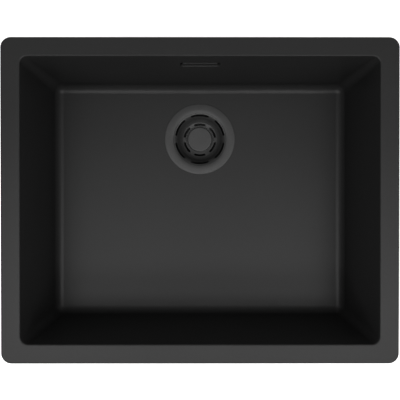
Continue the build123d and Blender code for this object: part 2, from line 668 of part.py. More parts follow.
def strainer_basket():
    """Perforated basket bowl with slots in its lip and in its floor, fitted to the funnel."""
    shoulder = FLOOR_LOW - BASKET_SHOULDER_DEPTH
    floor = FLOOR_LOW - BASKET_DEPTH
    line = FilletPolyline(
        (FUNNEL_START - FUNNEL_RADIUS / 2, FLOOR_LOW - BASKET_LIP_DEPTH),
        (BASKET_SHOULDER, shoulder),
        (BASKET_HEEL, FLOOR_LOW - BASKET_HEEL_DEPTH),
        (BASKET_FOOT, floor),
        (STEM_THREAD, floor),
        radius=BASKET_BEND,
    )
    bowl = revolve(Plane.XZ * trace(line, BASKET_SHEET), Axis.Z)
    bowl -= Pos(0, 0, FUNNEL_CENTRE) * Torus(FUNNEL_START, FUNNEL_RADIUS + BASKET_GAP)
    bowl += disc(KNOB_NECK, floor, BOSS_TOP)
    bowl -= disc(STEM_THREAD + PIVOT_CLEARANCE, floor - BASKET_SHEET, BOSS_TOP + 1)
    bowl -= round_slots(RIM_SLOT_RADIUS, RIM_SLOT_WIDTH, shoulder - BASKET_BEND, FLOOR_LOW)
    bowl -= round_slots(FLOOR_SLOT_RADIUS, FLOOR_SLOT_WIDTH, floor - BASKET_SHEET, floor + BASKET_SHEET)
    return DRAIN * bowl


def basket_knob():
    """Round button that lifts the basket."""
    cap = disc(KNOB_RADIUS, KNOB_CROWN - KNOB_CAP, KNOB_CROWN)
    cap = fillet(cap.edges().group_by(Axis.Z)[-1], KNOB_EDGE)
    cap = fillet(cap.edges().group_by(Axis.Z)[0], KNOB_EDGE / 2)
    neck = disc(KNOB_NECK, BOSS_TOP, KNOB_CROWN - KNOB_CAP / 2)
    bore = disc(STEM_THREAD + THREAD_CLEARANCE, BOSS_TOP - 1, BASKET_FLOOR + KNOB_BORE_DEPTH)
    return DRAIN * (cap + neck - bore)


def basket_stem():
    """Hollow stem that joins knob, basket and stopper and slides on the centre post."""
    stem = disc(STEM_THREAD, BASKET_UNDER, BASKET_FLOOR + KNOB_BORE_DEPTH - THREAD_CLEARANCE)
    stem += disc(STEM_SHOULDER, STOPPER_TOP, BASKET_UNDER)
    stem += disc(STEM_NECK, STEM_FOOT, STOPPER_TOP)
    stem -= disc(STEM_BORE, STEM_FOOT - 1, BASKET_FLOOR + KNOB_BORE_DEPTH / 2)
    groove = STEM_BORE + 2 * RING_SECTION
    middle = STOPPER_TOP + RING_HEIGHT
    return DRAIN * (stem - ring(groove, STEM_BORE - 1, middle - RING_SECTION, middle + RING_SECTION))


def grip_ring():
    """Ring in the stem's groove that grips the post and holds the basket up."""
    middle = STOPPER_TOP + RING_HEIGHT
    return DRAIN * (Pos(0, 0, middle) * Torus(POST_SIZE + RING_CLEARANCE + RING_SECTION, RING_SECTION))


def stopper_plate():
    """Disc that backs the stopper seal."""
    return DRAIN * ring(STOPPER_RADIUS, STEM_NECK + PIVOT_CLEARANCE, SEAL_TOP, STOPPER_TOP)


def stopper_seal():
    """Rubber ring that closes the dish's outlet."""
    return DRAIN * ring(STOPPER_SEAL_RADIUS, STEM_NUT_RADIUS + SEAL_BORE_GAP, DISH_FLOOR, SEAL_TOP)


def stem_nut():
    """Nut that holds the stopper plate on the stem."""
    return DRAIN * ring(STEM_NUT_RADIUS, STEM_NECK + THREAD_CLEARANCE, STEM_FOOT, SEAL_TOP)


def all_nodes():
    """Every node's name with its solid or its list of solids."""
    outside = bowl_outside()
    nodes = {
        "sink_bowl": sink_bowl(outside),
        "rim_seal": rim_seal(),
        "clamp_inserts": clamp_inserts(),
        "overflow_cover": overflow_cover(),
        "overflow_gasket": overflow_gasket(),
        "overflow_housing": overflow_housing(),
        "overflow_screws": overflow_screws(),
        "overflow_inserts": overflow_inserts(),
        "overflow_pipe": overflow_pipe(),
        "upper_pipe_washer": pipe_washer(UPPER_UNION),
        "upper_pipe_nut": union_nut(UPPER_UNION),
        "lower_pipe_washer": pipe_washer(LOWER_UNION),
        "lower_pipe_nut": union_nut(LOWER_UNION),
        "strainer_dish": strainer_dish(),
        "flange_seal": flange_seal(),
        "body_seal": body_seal(),
        "waste_body": waste_body(),
        "centre_screw": centre_screw(),
        "centre_nut": centre_nut(),
        "strainer_basket": strainer_basket(),
        "basket_knob": basket_knob(),
        "basket_stem": basket_stem(),
        "grip_ring": grip_ring(),
        "stopper_plate": stopper_plate(),
        "stopper_seal": stopper_seal(),
        "stem_nut": stem_nut(),
    }
    for number, plane in enumerate(clamp_planes(), start=1):
        nodes[f"clamp_block_{number}"] = clamp_block(plane, outside)
        nodes[f"clamp_screw_{number}"] = clamp_screw(plane)
        nodes[f"clamp_claw_{number}"] = clamp_claw(plane)
    return nodes


os.makedirs("parts", exist_ok=True)
for name, shape in all_nodes().items():
    if isinstance(shape, list):
        shape = Compound(children=shape)
    export_step(shape, f"parts/{name}.step")
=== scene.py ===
import json
import math
import bmesh
import bpy
from mathutils import Matrix, Vector

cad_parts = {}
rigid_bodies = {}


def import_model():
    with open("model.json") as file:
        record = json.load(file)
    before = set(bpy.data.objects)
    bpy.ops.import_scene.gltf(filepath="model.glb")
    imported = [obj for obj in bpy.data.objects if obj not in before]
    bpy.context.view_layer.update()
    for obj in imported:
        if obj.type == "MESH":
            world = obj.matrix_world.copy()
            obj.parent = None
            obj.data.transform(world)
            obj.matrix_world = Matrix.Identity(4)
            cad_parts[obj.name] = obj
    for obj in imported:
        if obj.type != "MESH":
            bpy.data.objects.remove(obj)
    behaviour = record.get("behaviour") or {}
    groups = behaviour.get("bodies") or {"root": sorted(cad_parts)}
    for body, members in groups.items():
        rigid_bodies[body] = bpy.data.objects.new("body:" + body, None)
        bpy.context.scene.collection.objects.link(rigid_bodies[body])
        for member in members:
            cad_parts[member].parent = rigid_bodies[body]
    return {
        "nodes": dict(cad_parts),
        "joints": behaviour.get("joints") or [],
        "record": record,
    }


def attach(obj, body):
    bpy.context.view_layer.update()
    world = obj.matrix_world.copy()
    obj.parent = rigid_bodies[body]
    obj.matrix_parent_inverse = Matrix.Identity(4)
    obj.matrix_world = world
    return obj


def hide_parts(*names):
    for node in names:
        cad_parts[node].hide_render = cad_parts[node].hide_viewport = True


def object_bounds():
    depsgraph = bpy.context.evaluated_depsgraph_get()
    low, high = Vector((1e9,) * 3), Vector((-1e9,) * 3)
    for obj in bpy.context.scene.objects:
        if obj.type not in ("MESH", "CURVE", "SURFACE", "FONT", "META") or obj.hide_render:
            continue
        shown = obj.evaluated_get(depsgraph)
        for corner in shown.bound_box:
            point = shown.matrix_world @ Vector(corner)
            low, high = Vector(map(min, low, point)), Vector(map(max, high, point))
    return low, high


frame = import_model()
cad_box = [list(corner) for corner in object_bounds()]
nodes = frame["nodes"]

# Sockets of the mix node that belong to colours.
MIX_SHARE = 0
MIX_FIRST = 6
MIX_SECOND = 7
MIX_RESULT = 2

# Shader values that the recipes share.
COAT_ROUGHNESS = 0.34
POLYMER_SHADE_SPREAD = 0.1
POLYMER_ROUGH_SPREAD = 0.05


class Shader:
    """Small helper round one node material."""

    def __init__(self, name):
        self.material = bpy.data.materials.new(name)
        self.material.use_nodes = True
        self.tree = self.material.node_tree
        self.bsdf = self.tree.nodes["Principled BSDF"]
        self.coords = self.add("ShaderNodeTexCoord").outputs["Object"]

    def add(self, kind, **settings):
        node = self.tree.nodes.new(kind)
        for key, value in settings.items():
            setattr(node, key, value)
        return node

    def link(self, source, target):
        self.tree.links.new(source, target)

    def stretched(self, scale):
        """Object coordinates with one scale per axis."""
        mapping = self.add("ShaderNodeMapping")
        mapping.inputs["Scale"].default_value = scale
        self.link(self.coords, mapping.inputs["Vector"])
        return mapping.outputs["Vector"]

    def noise(self, scale, detail=3.0, rough=0.55, vector=None):
        node = self.add("ShaderNodeTexNoise")
        node.inputs["Scale"].default_value = scale
        node.inputs["Detail"].default_value = detail
        node.inputs["Roughness"].default_value = rough
        self.link(vector or self.coords, node.inputs["Vector"])
        return node.outputs["Fac"]

    def cells(self, scale, feature="F1"):
        node = self.add("ShaderNodeTexVoronoi", feature=feature)
        node.inputs["Scale"].default_value = scale
        self.link(self.coords, node.inputs["Vector"])
        return node

    def ramp(self, source, stops):
        """Colour ramp from two stops, each a place and a grey or a colour."""
        node = self.add("ShaderNodeValToRGB")
        for element, (place, value) in zip(node.color_ramp.elements, stops):
            element.position = place
            element.color = (*value, 1) if isinstance(value, tuple) else (value, value, value, 1)
        self.link(source, node.inputs["Fac"])
        return node.outputs["Color"]

    def mix(self, share, first, second, blend="MIX"):
        """Blend of two colours; each value is a socket or a constant."""
        node = self.add("ShaderNodeMix", data_type="RGBA", blend_type=blend)
        for index, value in ((MIX_SHARE, share), (MIX_FIRST, first), (MIX_SECOND, second)):
            socket = node.inputs[index]
            if isinstance(value, bpy.types.NodeSocket):
                self.link(value, socket)
            elif index == MIX_SHARE:
                socket.default_value = value
            else:
                socket.default_value = (*value, 1)
        return node.outputs[MIX_RESULT]

    def colour(self, source):
        self.link(source, self.bsdf.inputs["Base Color"])

    def roughness(self, source, low, high):
        """Roughness from low to high as the source goes from 0 to 1."""
        node = self.add("ShaderNodeMapRange")
        node.inputs["To Min"].default_value = low
        node.inputs["To Max"].default_value = high
        self.link(source, node.inputs["Value"])
        self.link(node.outputs["Result"], self.bsdf.inputs["Roughness"])

    def bump(self, source, distance, strength):
        node = self.add("ShaderNodeBump")
        node.inputs["Distance"].default_value = distance
        node.inputs["Strength"].default_value = strength
        self.link(source, node.inputs["Height"])
        self.link(node.outputs["Normal"], self.bsdf.inputs["Normal"])

    def set(self, **values):
        """Constants on the shader's own sockets."""
        for key, value in values.items():
            self.bsdf.inputs[key.replace("_", " ")].default_value = value


def composite():
    """Matt black mineral composite: fine grey flecks in black resin, with a weak satin coat."""
    s = Shader("composite")
    ground = s.ramp(s.noise(2400, detail=5, rough=0.7), [(0.35, 0.0172), (0.65, 0.0242)])
    grains = s.cells(1700)
    fleck = s.ramp(grains.outputs["Distance"], [(0.15, 0.034), (0.45, 0.0192)])
    some = s.ramp(grains.outputs["Color"], [(0.45, 0.0), (0.7, 1.0)])
    clouds = s.ramp(s.noise(9, detail=4), [(0.3, 0.94), (0.7, 1.0)])
    s.colour(s.mix(1.0, s.mix(some, ground, fleck), clouds, "MULTIPLY"))
    s.roughness(s.noise(700, detail=2), low=0.6, high=0.8)
    s.bump(s.noise(1100), distance=0.00003, strength=0.3)
    s.set(Specular_IOR_Level=0.0, Coat_Weight=0.3, Coat_Roughness=COAT_ROUGHNESS)
    return s.material


def black_polymer(name, shade, rough, specular, coat=0.0):
    """Black moulded polymer with a fine spark-eroded texture."""
    s = Shader(name)
    dark = shade * (1 - POLYMER_SHADE_SPREAD)
    pale = shade * (1 + POLYMER_SHADE_SPREAD)
    s.colour(s.ramp(s.noise(60, detail=5), [(0.3, dark), (0.7, pale)]))
    s.roughness(s.noise(350), low=rough - POLYMER_ROUGH_SPREAD, high=rough + POLYMER_ROUGH_SPREAD)
    s.bump(s.noise(2600, detail=2), distance=0.00004, strength=0.35)
    s.set(Specular_IOR_Level=specular, Coat_Weight=coat, Coat_Roughness=COAT_ROUGHNESS)
    return s.material


def pipe_polymer():
    """Off-white polypropylene with faint flow marks."""
    s = Shader("pipe_polymer")
    flow = s.noise(45, detail=5, rough=0.6, vector=s.stretched((1, 1, 0.35)))
    s.colour(s.ramp(flow, [(0.25, (0.66, 0.655, 0.63)), (0.75, (0.75, 0.745, 0.72))]))
    s.roughness(s.noise(300), low=0.36, high=0.5)
    s.bump(s.noise(1800, detail=2), distance=0.00006, strength=0.4)
    return s.material


def rubber():
    """Black rubber with a dusty bloom."""
    s = Shader("rubber")
    s.colour(s.ramp(s.noise(120, detail=6), [(0.3, 0.022), (0.7, 0.045)]))
    s.roughness(s.noise(400), low=0.7, high=0.88)
    s.bump(s.noise(1500), distance=0.0001, strength=0.5)
    return s.material


def foam():
    """Closed-cell foam strip."""
    s = Shader("foam")
    cells = s.cells(1300, "SMOOTH_F1")
    s.colour(s.ramp(cells.outputs["Distance"], [(0.1, 0.05), (0.6, 0.11)]))
    s.roughness(s.noise(300, detail=2), low=0.82, high=0.95)
    s.bump(cells.outputs["Distance"], distance=0.0002, strength=0.6)
    return s.material


def steel():
    """Stainless screw stock with turning marks."""
    s = Shader("steel")
    marks = s.noise(900, rough=0.5, vector=s.stretched((0.12, 0.12, 1.0)))
    s.colour(s.ramp(marks, [(0.3, (0.5, 0.5, 0.5)), (0.7, (0.66, 0.655, 0.645))]))
    s.roughness(marks, low=0.24, high=0.4)
    s.bump(marks, distance=0.00004, strength=0.3)
    s.set(Metallic=1.0)
    return s.material


def zinc_steel():
    """Pressed steel with a bright zinc passivation."""
    s = Shader("zinc_steel")
    spangle = s.cells(420)
    wash = s.noise(90, detail=4)
    cool = s.ramp(spangle.outputs["Color"], [(0.0, (0.52, 0.54, 0.57)), (1.0, (0.66, 0.67, 0.66))])
    s.colour(s.mix(s.ramp(wash, [(0.45, 0.0), (0.75, 0.5)]), cool, (0.66, 0.62, 0.47)))
    s.roughness(spangle.outputs["Color"], low=0.3, high=0.45)
    s.bump(s.noise(1400), distance=0.00004, strength=0.4)
    s.set(Metallic=1.0)
    return s.material


def brass():
    """Turned brass, a little dulled."""
    s = Shader("brass")
    tarnish = s.noise(160, detail=5)
    marks = s.noise(2000, detail=2, rough=0.5, vector=s.stretched((0.1, 0.1, 1.0)))
    s.colour(s.ramp(tarnish, [(0.3, (0.55, 0.4, 0.17)), (0.7, (0.74, 0.56, 0.26))]))
    s.roughness(tarnish, low=0.3, high=0.48)
    s.bump(marks, distance=0.00003, strength=0.3)
    s.set(Metallic=1.0)
    return s.material


MATERIALS = {
    "composite": composite(),
    "black_polymer": black_polymer("black_polymer", shade=0.031, rough=0.37, specular=0.34),
    "pipe_polymer": pipe_polymer(),
    "rubber": rubber(),
    "foam": foam(),
    "steel": steel(),
    "zinc_steel": zinc_steel(),
    "brass": brass(),
}
# Near-black polymer, darker than real black plastic: painted shade on the parts under the basket that
# show through its slots.
PAINTED_SHADE_POLYMER = black_polymer("painted_shade_polymer", shade=0.007, rough=0.78, specular=0.05)
# Own materials of some nodes: a matt finish for the overflow cover, and painted shade for the stopper
# plate, stem and nut.
FINISHES_AND_PAINTED_SHADE = {
    "overflow_cover": black_polymer("cover_polymer", shade=0.016, rough=0.7, specular=0.0, coat=0.5),
    "stopper_plate": PAINTED_SHADE_POLYMER,
    "basket_stem": PAINTED_SHADE_POLYMER,
    "stem_nut": PAINTED_SHADE_POLYMER,
}


def surface(node, slot):
    """Material of a node: a finish or a painted shade of its own, or else its slot's."""
    return FINISHES_AND_PAINTED_SHADE.get(node, MATERIALS[slot])


for part in frame["record"]["subparts"]:
    piece = nodes[part["node"]]
    piece.data.materials.clear()
    piece.data.materials.append(surface(part["node"], part["material_slot"]))

# Points round a ring, and steps of rounded forms and threads.
SEGMENTS = 48
FINE_SEGMENTS = 144
ROUND_STEPS = 6
FUNNEL_STEPS = 10
BEND_STEPS = 5
SLOT_END_STEPS = 5
RINGS_PER_TURN = 5
OUTLET_RINGS_PER_TURN = 9

# Tolerances: how near two lengths count as the same, the distances over which points are joined,
# and what counts as nothing.
CLOSE = 1e-5
WELD = 1e-6
FINE_WELD = 1e-7
TINY = 1e-9

# Angle above which an edge is sharp.
SHARP_ANGLE = math.radians(38)

# Mouth of the bowl, in metres, and the share of its edge's round that is kept.
RIM_TOP = 0.01
MOUTH_HALF = (0.25, 0.2)
MOUTH_CORNER = 0.011
MOUTH_ROUND = 0.003
MOUTH_TIGHTER = 0.5

# Screws, in metres, and the narrowing of their cross recess; heads are given by radius and height.
M4_PITCH = 0.0007
M4_DEPTH = 0.0004
M4_RADIUS = 0.002
RECESS_ARM = 0.0021
RECESS_HALF_WIDTH = 0.00045
RECESS_DEPTH = 0.0014
RECESS_TAPER = 0.7
CLAW_SEAT = -0.058
CLAMP_SHANK = 0.038
CLAMP_HEAD = (0.004, 0.0028)
EAR_SEAT = 0.01298
EAR_SHANK = 0.00948
EAR_HEAD = (0.0038, 0.0024)
EAR_SIDE = 0.04

# Overflow cover, in metres. The wall's lean is a slope, and the middle of the rounded edge a share of it.
OVERFLOW_CENTRE = (0, 0.196465, -0.0405)
WALL_LEAN = 0.07
COVER_HALF = (0.0255, 0.006)
COVER_CORNER = 0.002
COVER_FRONT = 0.0004
COVER_SHEET = 0.0014
COVER_EDGE = 0.0003
COVER_EDGE_MIDDLE = 0.3
PEG_SIDE = 0.017
PEG_RADIUS = 0.0024
PEG_END = 0.018

# Waste, in metres: radii from the drain's axis and heights over the bowl's floor.
DRAIN_Y = 0.099
FLOOR_Z = -0.19
OUTLET_RADIUS = 0.0239
OUTLET_PITCH = 0.002309
OUTLET_DEPTH = 0.0012
FLANGE_RADIUS = 0.0575
FLANGE_EDGE = 0.0012
FLANGE_TOP = 0.0012
FLANGE_UNDER = -0.0013
FLANGE_SKIRT = 0.05775
FLANGE_ROUND = 0.0005
FUNNEL_RADIUS = 0.01
FUNNEL_START = 0.051
FUNNEL_CENTRE = -0.0088
SHALLOW_START = 0.0495
SHALLOW_RADIUS = 0.036
SEAT_RADIUS = 0.0432
SEAT_TOP = -0.00125
SEAT_FOOT = -0.0021
SEAT_ROUND = 0.0002
CUP_RADIUS = 0.041

# Basket, in metres: its top as radii and heights, from the lip to the axis.
BASKET_LINE = [
    (0.043, 0.0006),
    (0.0412, 0.0001),
    (0.0388, -0.0014),
    (0.0366, -0.0044),
    (0.0346, -0.0087),
    (0.0324, -0.0122),
    (0.0292, -0.0149),
    (0.0252, -0.0162),
    (0.0205, -0.0166),
    (0.0, -0.0166),
]
BASKET_BEND = 0.0012
BASKET_SHEET = 0.0016
BOSS_RADIUS = 0.009
BOSS_TOP = -0.0121
STEM_HOLE = 0.00558

# Slots of the basket: how many to a ring, their span, and half their width by the ring's radius.
SLOTS = 6
SLOT_SECTOR = 2 * math.pi / SLOTS
SLOT_SPAN = math.radians(43)
SLOT_MARGIN = 0.0001
SLOT_HALVES = {0.0397: 0.00155, 0.0257: 0.0018}

# Degrees from a slot's middle to the basket's columns, and the digits to which turns are compared.
COLUMN_DEGREES = (0, 5, 10, 14, 26, 30)
TURN_DIGITS = 6

# Camera: place and aim in metres, lens and sensor in millimetres.
CAMERA_PLACE = (-0.002, 0.013, 1.0447)
CAMERA_AIM = (-0.0001, 0.00096, 0.010)
CAMERA_LENS = 67.25
CAMERA_SENSOR = 36

# Stage, in metres, and its look.
STAGE_RADIUS = 11.0
STAGE_BEND = 1.0
STAGE_HEIGHT = 3.0
STAGE_STEPS = 8
STAGE_GREY = (0.8, 0.8, 0.8, 1)
STAGE_ROUGHNESS = 0.9
STAGE_GLOW = 0.75

# Light: the sky's strength, and each softbox's name, place, aim, size and power in watts.
SKY_STRENGTH = 0.41
SOFTBOXES = [
    ("front", (0, -0.9, 1.6), (0, 0, 0), (3.2, 0.25), 13.8),
    ("middle", (0, -0.45, 1.6), (0, 0, 0), (1.6, 0.25), 5.8),
    ("top", (0, -0.05, 1.6), (0, 0, 0), (1.6, 0.25), 3.9),
    ("back", (0, 1.8, -0.12), (0, 0.2, -0.14), (2.0, 0.2), 9.0),
    ("left", (-0.7, -0.4, 1.6), (0, 0, 0), (0.3, 1.0), 2.4),
    ("right", (0.7, -0.4, 1.6), (0, 0, 0), (0.3, 1.0), 2.4),
]


def circle(radius, height, count=SEGMENTS):
    """One ring of points about Z."""
    turns = [2 * math.pi * step / count for step in range(count)]
    return [Vector((radius * math.cos(turn), radius * math.sin(turn), height)) for turn in turns]


def cross(arm, half_width, height):
    """Ring of points on the outline of a cross recess."""
    ring = []
    for step in range(SEGMENTS):
        turn = 2 * math.pi * step / SEGMENTS
        off = abs((turn + math.pi / 4) % (math.pi / 2) - math.pi / 4)
        reach = arm / math.cos(off)
        if off > TINY:
            reach = min(reach, half_width / math.sin(off))
        ring.append(Vector((reach * math.cos(turn), reach * math.sin(turn), height)))
    return ring


def thread_ring(radius, depth, pitch, height):
    """Ring of points on a helical thread with straight flanks."""
    ring = []
    for step in range(SEGMENTS):
        turn = step / SEGMENTS
        groove = abs(2 * ((height / pitch - turn) % 1) - 1)
        reach = radius - depth * groove
        angle = 2 * math.pi * turn
        ring.append(Vector((reach * math.cos(angle), reach * math.sin(angle), height)))
    return ring


def plate_ring(inset, height):
    """Ring of points on the overflow cover's outline, drawn in by the inset."""
    straight = Vector(COVER_HALF) - Vector((COVER_CORNER, COVER_CORNER))
    reach = COVER_CORNER - inset
    ring = []
    for step in range(SEGMENTS):
        turn = 2 * math.pi * (step + 0.5) / SEGMENTS
        x = math.copysign(straight.x, math.cos(turn)) + reach * math.cos(turn)
        y = math.copysign(straight.y, math.sin(turn)) + reach * math.sin(turn)
        ring.append(Vector((x, y, height)))
    return ring


def skin(form, rings, place, closed=True):
    """Adds the skin over the rings, moved by a matrix, and closes its two ends unless told not to."""
    rows = [[form.verts.new(place @ point) for point in ring] for ring in rings]
    for under, over in zip(rows, rows[1:]):
        for step in range(len(under)):
            form.faces.new((under[step - 1], under[step], over[step], over[step - 1]))
    if closed:
        form.faces.new(list(reversed(rows[0])))
        form.faces.new(rows[-1])
    return rows


def add_mesh(mesh, name, slot, body, node):
    """Puts a finished mesh in place of one node."""
    mesh.materials.clear()
    mesh.materials.append(surface(node, slot))
    piece = bpy.data.objects.new(name, mesh)
    bpy.context.scene.collection.objects.link(piece)
    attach(piece, body)
    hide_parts(node)


def add_piece(form, name, slot, body, node):
    """Puts a finished form in place of one node."""
    bmesh.ops.recalc_face_normals(form, faces=form.faces)
    mesh = bpy.data.meshes.new(name)
    form.to_mesh(mesh)
    form.free()
    mesh.polygons.foreach_set("use_smooth", [True] * len(mesh.polygons))
    mesh.set_sharp_from_angle(angle=SHARP_ANGLE)
    add_mesh(mesh, name, slot, body, node)


def sink_bowl():
    """Bowl with the round of its mouth's edge made tighter, towards the line where rim and wall meet."""
    mesh = nodes["sink_bowl"].data.copy()
    for vertex in mesh.vertices:
        x, y, z = vertex.co
        past_x = max(abs(x) - MOUTH_HALF[0] + MOUTH_CORNER, 0)
        past_y = max(abs(y) - MOUTH_HALF[1] + MOUTH_CORNER, 0)
        reach = math.hypot(past_x, past_y)
        out = reach - MOUTH_CORNER
        deep = RIM_TOP - z
        if abs(out) < MOUTH_ROUND + CLOSE and deep < MOUTH_ROUND + CLOSE:
            back = out / reach * (1 - MOUTH_TIGHTER)
            vertex.co.x -= math.copysign(past_x * back, x)
            vertex.co.y -= math.copysign(past_y * back, y)
            vertex.co.z = RIM_TOP - deep * MOUTH_TIGHTER
    add_mesh(mesh, "sink_bowl_mouth", "composite", "sink", "sink_bowl")


def screw_rings(shank, head):
    """Rings of a pan head screw: head below its seat at height zero, threaded shank above."""
    head_radius, head_height = head
    edge = head_height / 2
    rings = [
        cross(RECESS_ARM * RECESS_TAPER, RECESS_HALF_WIDTH * RECESS_TAPER, RECESS_DEPTH - head_height),
        cross(RECESS_ARM, RECESS_HALF_WIDTH, -head_height),
    ]
    for step in range(ROUND_STEPS + 1):
        turn = math.pi / 2 * step / ROUND_STEPS
        inset = edge * (1 - math.sin(turn))
        rings.append(circle(head_radius - inset, -head_height + edge * (1 - math.cos(turn))))
    rings += [circle(head_radius, 0), circle(M4_RADIUS, 0)]
    count = int(shank / M4_PITCH * RINGS_PER_TURN)
    for step in range(1, count):
        height = shank * step / count
        share = min(1, height / M4_PITCH, (shank - height) / M4_PITCH)
        rings.append(thread_ring(M4_RADIUS, M4_DEPTH * share, M4_PITCH, height))
    rings.append(circle(M4_RADIUS - M4_DEPTH, shank))
    return rings


def clamp_screws():
    """Threaded clamp screws with a cross recess in the head."""
    for joint in frame["joints"]:
        if joint["name"].endswith("_swing"):
            node = joint["parent"]
            x, y, _ = joint["pos_m"]
            form = bmesh.new()
            skin(form, screw_rings(CLAMP_SHANK, CLAMP_HEAD), Matrix.Translation((x, y, CLAW_SEAT)))
            add_piece(form, f"{node}_threaded", "steel", node, node)


def overflow_place():
    """Frame on the bowl's back wall: X to the left, Y up the wall, Z out to the back."""
    out = Vector((0, 1, -WALL_LEAN)).normalized()
    left = Vector((-1, 0, 0))
    place = Matrix((left, out.cross(left), out)).transposed().to_4x4()
    place.translation = OVERFLOW_CENTRE
    return place


def overflow_screws():
    """Screws through the overflow housing's ears, heads to the back."""
    form = bmesh.new()
    turned = Matrix.Rotation(math.pi, 4, "X")
    for side in (-1, 1):
        seat = Matrix.Translation((side * EAR_SIDE, 0, EAR_SEAT))
        skin(form, screw_rings(EAR_SHANK, EAR_HEAD), overflow_place() @ seat @ turned)
    add_piece(form, "overflow_screws_threaded", "steel", "sink", "overflow_screws")


def overflow_cover():
    """Thin cover plate set just inside the overflow hole, with its two pegs."""
    form = bmesh.new()
    back = COVER_FRONT + COVER_SHEET
    middle = COVER_EDGE * COVER_EDGE_MIDDLE
    edges = [
        (COVER_EDGE, COVER_FRONT),
        (middle, COVER_FRONT + middle),
        (0, COVER_FRONT + COVER_EDGE),
        (0, back - COVER_EDGE),
        (COVER_EDGE, back),
    ]
    skin(form, [plate_ring(inset, height) for inset, height in edges], overflow_place())
    for side in (-1, 1):
        peg = [circle(PEG_RADIUS, back - COVER_EDGE), circle(PEG_RADIUS, PEG_END - COVER_EDGE)]
        peg.append(circle(PEG_RADIUS - COVER_EDGE, PEG_END))
        skin(form, peg, overflow_place() @ Matrix.Translation((side * PEG_SIDE, 0, 0)))
    add_piece(form, "overflow_cover_plate", "black_polymer", "sink", "overflow_cover")


def drain_reach(vertex):
    """A vertex's distance from the drain's axis and its height over the bowl's floor."""
    return Vector((math.hypot(vertex.co.x, vertex.co.y - DRAIN_Y), vertex.co.z - FLOOR_Z))


def reskinned(node, dropped, rings):
    """Copy of a node's form with the dropped faces replaced by rings about the drain's axis."""
    form = bmesh.new()
    form.from_mesh(nodes[node].data)
    bmesh.ops.remove_doubles(form, verts=form.verts, dist=WELD)
    bmesh.ops.delete(form, geom=[face for face in form.faces if dropped(face)], context="FACES")
    open_edges = [edge for edge in form.edges if edge.is_boundary]
    rows = skin(form, rings, Matrix.Translation((0, DRAIN_Y, FLOOR_Z)), closed=False)
    ends = (rows[0], rows[-1])
    loops = [[form.edges.get((row[step - 1], row[step])) for step in range(len(row))] for row in ends]
    for edge in open_edges:
        gaps = [(drain_reach(edge.verts[0]) - drain_reach(row[0])).length for row in ends]
        loops[gaps.index(min(gaps))].append(edge)
    for loop in loops:
        bmesh.ops.bridge_loops(form, edges=loop)
    return form


def waste_body():
    """Waste body with a pipe thread on its outlet."""

    def on_outlet(face):
        return all(abs(drain_reach(vertex).x - OUTLET_RADIUS) < CLOSE for vertex in face.verts)

    heights = [
        drain_reach(vertex).y
        for vertex in nodes["waste_body"].data.vertices
        if abs(drain_reach(vertex).x - OUTLET_RADIUS) < CLOSE
    ]
    low, high = min(heights), max(heights)
    count = int((high - low) / OUTLET_PITCH * OUTLET_RINGS_PER_TURN)
    rings = []
    for step in range(1, count):
        height = low + (high - low) * step / count
        share = min(1, (height - low) / OUTLET_PITCH, (high - height) / OUTLET_PITCH)
        rings.append(thread_ring(OUTLET_RADIUS, OUTLET_DEPTH * share, OUTLET_PITCH, height))
    form = reskinned("waste_body", on_outlet, rings)
    add_piece(form, "waste_body_threaded", "pipe_polymer", "sink", "waste_body")


def strainer_dish():
    """Dish with a rounded flange edge, a shallow funnel and a stepped seat for the basket."""

    def on_top(vertex):
        reach, height = drain_reach(vertex)
        bend = math.hypot(reach - FUNNEL_START, height - FUNNEL_CENTRE)
        on_funnel = reach < FUNNEL_START + CLOSE and abs(bend - FUNNEL_RADIUS) < 2 * CLOSE
        return on_funnel or height > FLANGE_TOP - CLOSE or reach > FLANGE_RADIUS - FLANGE_EDGE

    def dropped(face):
        places = [drain_reach(vertex) for vertex in face.verts]
        over = any(place.y > FLANGE_UNDER + CLOSE for place in places)
        inside = all(place.x < FUNNEL_START + CLOSE for place in places)
        return all(on_top(vertex) for vertex in face.verts) and (over or inside)

    line = [(FLANGE_SKIRT, FLANGE_UNDER)]
    for step in range(ROUND_STEPS + 1):
        turn = math.pi / 2 * step / ROUND_STEPS
        inset = FLANGE_ROUND * (1 - math.cos(turn))
        line.append((FLANGE_SKIRT - inset, FLANGE_TOP - FLANGE_ROUND * (1 - math.sin(turn))))
    line.append((SHALLOW_START, FLANGE_TOP))
    for step in range(1, FUNNEL_STEPS + 1):
        run = (SHALLOW_START - SEAT_RADIUS) * step / FUNNEL_STEPS
        drop = SHALLOW_RADIUS - math.sqrt(SHALLOW_RADIUS**2 - run**2)
        line.append((SHALLOW_START - run, FLANGE_TOP - drop))
    line.append((SEAT_RADIUS, SEAT_TOP))
    line.append((CUP_RADIUS + SEAT_ROUND, SEAT_FOOT))
    line.append((CUP_RADIUS, SEAT_FOOT - SEAT_ROUND))
    rings = [circle(reach, height, FINE_SEGMENTS) for reach, height in line]
    form = reskinned("strainer_dish", dropped, rings)
    add_piece(form, "strainer_dish_flange", "black_polymer", "sink", "strainer_dish")


def bent_line(corners, reach):
    """Points along a line through the corners, each rounded off over the reach."""
    corners = [Vector(corner) for corner in corners]
    line = [corners[0]]
    for before, corner, after in zip(corners, corners[1:], corners[2:]):
        start = corner + (before - corner).normalized() * reach
        end = corner + (after - corner).normalized() * reach
        for step in range(BEND_STEPS + 1):
            share = step / BEND_STEPS
            line.append(start.lerp(corner, share).lerp(corner.lerp(end, share), share))
    line.append(corners[-1])
    return line


def offset_line(line, sheet):
    """The line's other side, one sheet below it."""
    other = []
    for index, point in enumerate(line):
        along = (line[min(index + 1, len(line) - 1)] - line[max(index - 1, 0)]).normalized()
        other.append(point + Vector((-along.y, along.x)) * sheet)
    return other


def height_at(line, reach):
    """Height of an inward line at a distance from the axis, or of its outer end further out."""
    for outer, inner in zip(line, line[1:]):
        if inner.x <= reach <= outer.x:
            share = (outer.x - reach) / max(outer.x - inner.x, TINY)
            return outer.y + (inner.y - outer.y) * share
    return line[0].y


